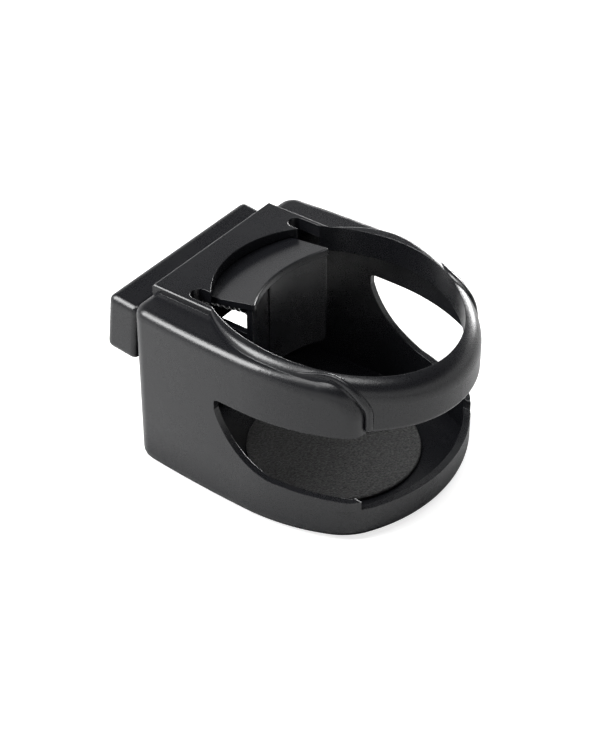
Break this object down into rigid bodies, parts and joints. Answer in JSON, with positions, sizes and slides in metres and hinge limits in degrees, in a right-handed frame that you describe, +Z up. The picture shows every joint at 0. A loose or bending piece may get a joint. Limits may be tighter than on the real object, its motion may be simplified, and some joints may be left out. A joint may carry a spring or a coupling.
{
  "type": "desk clamp cup holder",
  "caption": "Ring-topped cup holder with an open front, a spring-loaded pusher that grips the cup, and a tilting block with a small screw clamp for a panel edge.",
  "frame": {"origin": "on the axis of the cup ring, at the underside of the base", "axes": "+Z up, +Y to the rear where the clamp block is, -Y to the open front, +X to the side"},
  "size_m": [0.09, 0.1253, 0.0652],
  "materials": {
    "holder_body": "fine moulded grain, satin edges",
    "pad_adhesive": "thin adhesive film",
    "foam_pad": "soft closed-cell foam",
    "rear_frame": "fine moulded grain",
    "frame_screws": "blackened steel",
    "tilt_pins": "ground steel",
    "pusher_springs": "drawn spring wire",
    "pusher": "smooth satin moulding",
    "block_shell": "fine moulded grain",
    "block_cover": "fine moulded grain",
    "block_screws": "blackened steel",
    "upper_jaw_pad": "soft rubber",
    "clamp_nut": "turned brass",
    "rod_bushes": "sintered bronze",
    "friction_washers": "natural nylon",
    "lower_jaw": "fine moulded grain",
    "lower_jaw_pad": "soft rubber",
    "jaw_rods": "ground steel",
    "rod_screws": "blackened steel",
    "clamp_screw": "rolled thread",
    "clamp_knob": "fluted moulding",
    "screw_clip": "spring steel",
    "thrust_washer": "plain steel"
  },
  "bodies": {
    "base": {"holder_body": "holder_body", "pad_adhesive": "pad_adhesive", "foam_pad": "foam_pad", "rear_frame": "rear_frame", "frame_screws": "frame_screws", "tilt_pins": "tilt_pins", "pusher_springs": "pusher_springs"},
    "slider": {"pusher": "pusher"},
    "clamp_block": {"block_shell": "block_shell", "block_cover": "block_cover", "block_screws": "block_screws", "upper_jaw_pad": "upper_jaw_pad", "clamp_nut": "clamp_nut", "rod_bushes": "rod_bushes", "friction_washers": "friction_washers"},
    "jaw": {"lower_jaw": "lower_jaw", "lower_jaw_pad": "lower_jaw_pad", "jaw_rods": "jaw_rods", "rod_screws": "rod_screws"},
    "knob": {"clamp_screw": "clamp_screw", "clamp_knob": "clamp_knob", "screw_clip": "screw_clip", "thrust_washer": "thrust_washer"}
  },
  "joints": [
    {"name": "pusher_slide", "type": "slide", "parent": "base", "child": "slider", "axis": [0, 0.9848, -0.1736], "range_m": [0, 0.008], "stiffness_N_per_m": 150, "springref_m": -0.003, "deforming": ["pusher_springs"]},
    {"name": "mount_tilt", "type": "hinge", "parent": "base", "child": "clamp_block", "pos_m": [0, 0.061, 0.0459], "axis": [1, 0, 0], "range_deg": [-14, 8]},
    {"name": "jaw_slide", "type": "slide", "parent": "clamp_block", "child": "jaw", "axis": [0, 0.1045, -0.9945], "range_m": [0, 0.0105]},
    {"name": "knob_spin", "type": "hinge", "parent": "jaw", "child": "knob", "pos_m": [0, 0.06389, 0.02609], "axis": [0, 0.1045, -0.9945], "range_deg": [0, 5400.5]}
  ],
  "couplings": [
    {"joint": "knob_spin", "follows": "jaw_slide", "rad_per_m": 8976}
  ]
}
